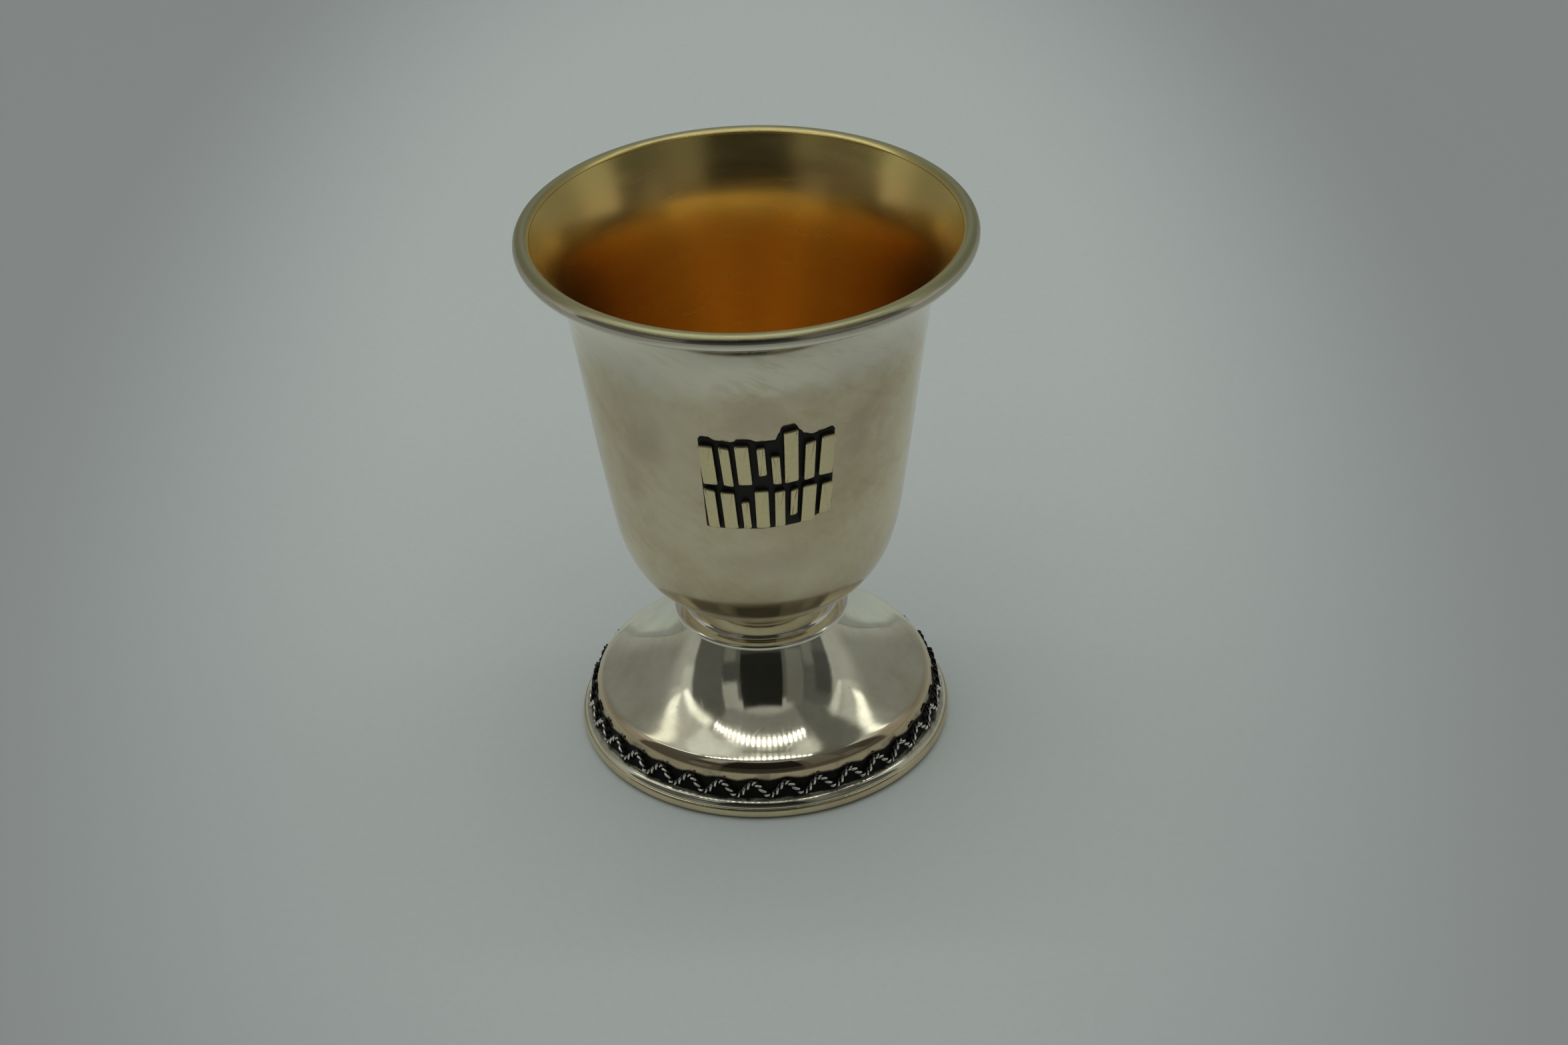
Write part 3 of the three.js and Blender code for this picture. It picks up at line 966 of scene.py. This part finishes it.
studio = {
    "floorSize": 3.0,
    "floorTones": ((0.605, 0.655, 0.64, 1), (0.665, 0.72, 0.703, 1)),
    "speck": (0.35, 0.35, 0.34, 1),
    "speckAmount": 0.15,
    "panelHeight": 0.6,
    "frontPanel": {"across": (-0.465, 0.305), "deep": (-0.215, -0.181), "turn": 1.2, "glow": 3.7},
    "backPanel": {"across": (-0.48, 0.48), "deep": (0.19, 0.25), "turn": 0.0, "glow": 4.2},
    "fill": {"centre": (-0.25, 0.1, 1.0), "half": 1.1, "glow": 0.64},  # soft light for the table only
    "dotPitch": 0.0228,
    "lampColour": (1.0, 0.985, 0.95, 1),
    "fillColour": (0.97, 1.0, 0.98, 1),
    "wallColour": (0.99, 1.0, 0.96, 1),
    "backdropColour": (0.93, 1.0, 0.97, 1),
    "wall": 0.31,
    "paintedFalloff": (0.05, 0.122),  # painted light falloff: the table's colour darkens between these distances
    "paleCentre": 0.097,  # the pale pool of painted light on the table lies a little behind the cup
    "paleLength": 0.39,  # and is longer than wide, this is width over length
    "paintedFalloffTone": (0.395, 0.42, 0.42, 1),
    "backdrop": 0.36,
    # windows in degrees: from, to, low, high, softness, level
    "windows": [
        (-86, 80, -40, 57, 2.0, 0.085),
        (80, 90, 20, 57, 3.0, 0.30),
        (-96, -86, 25, 56, 3.0, 0.42),
        (28, 48, 20, 60, 1.5, 0.13),
        (50, 64, 10, 30, 3.0, 0.135),
        (62, 80, 20, 50, 3.0, 0.055),
        (-52, -34, 38, 60, 1.5, 0.28),
        (-50, -36, 10, 27, 2.0, 0.135),
        (-52, -28, 27, 43, 3.0, 0.055),
        (-30, 23, 22, 63, 1.5, 0.014),
        (-30, 23, 2, 22, 2.0, 0.04),
        (105, 168, 4, 48, 8.0, 0.195),
        (-168, -105, 4, 48, 8.0, 0.195),
    ],
    # patches on the ceiling, in widths per height: left, right, front, back, softness, level
    "ceiling": [
        (-1.30, -0.52, -0.05, 0.34, 0.07, 0.45),
        (0.60, 1.25, -0.08, 0.34, 0.07, 0.42),
        (-0.52, 0.34, -0.12, 0.60, 0.03, 0.61),
        (0.32, 0.62, -0.45, 0.30, 0.04, 0.115),
        (-0.46, 0.34, -0.42, -0.10, 0.025, 0.17),
        (-1.8, -0.44, -0.9, -0.20, 0.03, 0.085),
        (0.60, 0.84, -0.9, -0.20, 0.04, 0.10),
        (0.84, 1.8, -0.9, -0.20, 0.04, 0.06),
        (-0.85, -0.36, -0.80, -0.43, 0.02, 0.28),
    ],
    # slanted glows on the side walls: from, to, depth at from, depth at to, half width, level
    "glows": [
        (-1.15, -0.50, 0.03, -0.16, 0.055, 1.2),
        (-1.10, -0.56, 0.17, 0.22, 0.085, 1.15),
        (0.62, 1.20, -0.11, -0.03, 0.05, 0.55),
        (0.63, 1.06, 0.23, 0.22, 0.075, 1.35),
    ],
}


def buildFloor():
    half = studio["floorSize"] / 2
    corners = [(-half, -half, 0), (half, -half, 0), (half, half, 0), (-half, half, 0)]
    obj = makeMesh("floorSheet", corners, [(0, 1, 2, 3)])
    obj.location.z = -0.02 * mm
    material, g, shader = newMaterial("paperFloor")
    fibre = g.noise(g.position(), 900.0, 4.0, 0.6)
    speck = g.ramp(g.noise(g.position(), 2400.0, 2.0), 0.72, 0.8)
    tone = g.mix(fibre, *studio["floorTones"])
    x, y, _ = g.split(g.position())
    deep = g.times(g.less(y, studio["paleCentre"]), studio["paleLength"])
    away = g.length(x, deep)
    # painted light falloff: the table is painted darker away from a pale pool behind the cup
    tone = g.mix(g.ramp(away, *studio["paintedFalloff"]), tone, studio["paintedFalloffTone"])
    g.put(shader["Base Color"], g.mix(g.times(speck, studio["speckAmount"]), tone, studio["speck"]))
    shader["Roughness"].default_value = 0.75
    g.put(shader["Normal"], g.bump(fibre, 0.01 * mm))
    obj.data.materials.append(material)


def glowMaterial(name, colour):
    material = bpy.data.materials.new(name)
    material.use_nodes = True
    tree = material.node_tree
    tree.nodes.clear()
    g = Graph(tree)
    glow = g.node("ShaderNodeEmission")
    glow.inputs["Color"].default_value = colour
    tree.links.new(glow.outputs[0], g.node("ShaderNodeOutputMaterial").inputs[0])
    return material, g, glow.inputs["Strength"]


def buildLedPanel(name, panel):
    high = studio["panelHeight"]
    left, right = (side * high for side in panel["across"])
    front, back = (side * high for side in panel["deep"])
    wide, deep = (right - left) / 2, (back - front) / 2
    verts = [(-wide, -deep, 0), (-wide, deep, 0), (wide, deep, 0), (wide, -deep, 0)]
    obj = makeMesh(name, verts, [(0, 1, 2, 3)])
    obj.location = ((left + right) / 2, (front + back) / 2, high)
    obj.rotation_euler.z = math.radians(panel["turn"])
    material, g, strength = glowMaterial(name, studio["lampColour"])
    along = g.split(g.position())[0]
    wrapped = g.less(g.math("FRACT", g.math("DIVIDE", along, studio["dotPitch"])), 0.5)
    dot = g.ramp(g.math("ABSOLUTE", wrapped), 0.12, 0.34, 1.0, 0.0)
    # fainter where it would be seen twice over, inside the bowl
    once = g.ramp(g.node("ShaderNodeLightPath").outputs["Glossy Depth"], 1.4, 1.6, 1.0, 0.3)
    level = g.math("MULTIPLY_ADD", dot, panel["glow"] * 1.8, panel["glow"] * 0.2)
    g.put(strength, g.times(level, once))
    obj.data.materials.append(material)
    obj.visible_camera = False


def buildFill():
    place = studio["fill"]
    half = place["half"]
    corners = [(-half, -half, 0), (-half, half, 0), (half, half, 0), (half, -half, 0)]
    obj = makeMesh("tableFill", corners, [(0, 1, 2, 3)])
    obj.location = place["centre"]
    material, g, strength = glowMaterial("tableFill", studio["fillColour"])
    cloth = g.noise(g.position(), 3.0, 2.0)
    g.put(strength, g.math("MULTIPLY_ADD", cloth, 0.1, place["glow"]))
    obj.data.materials.append(material)
    obj.visible_camera = False
    obj.visible_glossy = False


def buildTent():
    # pale walls all round, a darker opening at the front, glows beside the lamps
    world = bpy.data.worlds.new("lightTent")
    world.use_nodes = True
    scene.world = world
    tree = world.node_tree
    tree.nodes.clear()
    g = Graph(tree)
    way = g.node("ShaderNodeTexCoord").outputs["Generated"]
    x, y, z = g.split(way)
    turn = g.math("DEGREES", g.turn(x, y))
    rise = g.math("DEGREES", g.math("ARCSINE", z))
    upward = g.math("MAXIMUM", z, 0.02)
    across = g.math("DIVIDE", x, upward)
    deep = g.math("DIVIDE", y, upward)

    def between(value, low, high, soft):
        a = g.ramp(value, low - soft, low + soft)
        return g.times(a, g.ramp(value, high - soft, high + soft, 1.0, 0.0))

    level = studio["wall"]
    for left, right, front, back, soft, tone in studio["ceiling"]:
        mask = g.times(between(across, left, right, soft), between(deep, front, back, soft))
        level = g.blend(mask, level, tone)
    for left, right, low, high, soft, tone in studio["windows"]:
        mask = g.times(between(turn, left, right, soft), between(rise, low, high, soft))
        level = g.blend(mask, level, tone)
    for left, right, start, stop, half, tone in studio["glows"]:
        line = g.ramp(across, left, right, start, stop, smooth=False)
        away = g.math("ABSOLUTE", g.less(deep, line))
        band = g.ramp(away, half * 0.3, half * 1.3, 1.0, 0.0)
        mask = g.times(between(across, left, right, 0.06), band)
        level = g.blend(mask, level, tone)
    tint = g.mix(1.0, g.join(level, level, level), studio["wallColour"], "MULTIPLY")
    seen = g.node("ShaderNodeBackground")
    seen.inputs[0].default_value = studio["backdropColour"]
    seen.inputs[1].default_value = studio["backdrop"]
    lit = g.node("ShaderNodeBackground")
    g.put(lit.inputs[0], tint)
    lit.inputs[1].default_value = 1.0
    choose = g.node("ShaderNodeMixShader")
    g.put(choose.inputs[0], g.node("ShaderNodeLightPath").outputs["Is Camera Ray"])
    tree.links.new(lit.outputs[0], choose.inputs[1])
    tree.links.new(seen.outputs[0], choose.inputs[2])
    output = g.node("ShaderNodeOutputWorld")
    tree.links.new(choose.outputs[0], output.inputs[0])


buildFloor()
buildLedPanel("frontPanel", studio["frontPanel"])
buildLedPanel("backPanel", studio["backPanel"])
buildFill()
buildTent()
print("studio built")
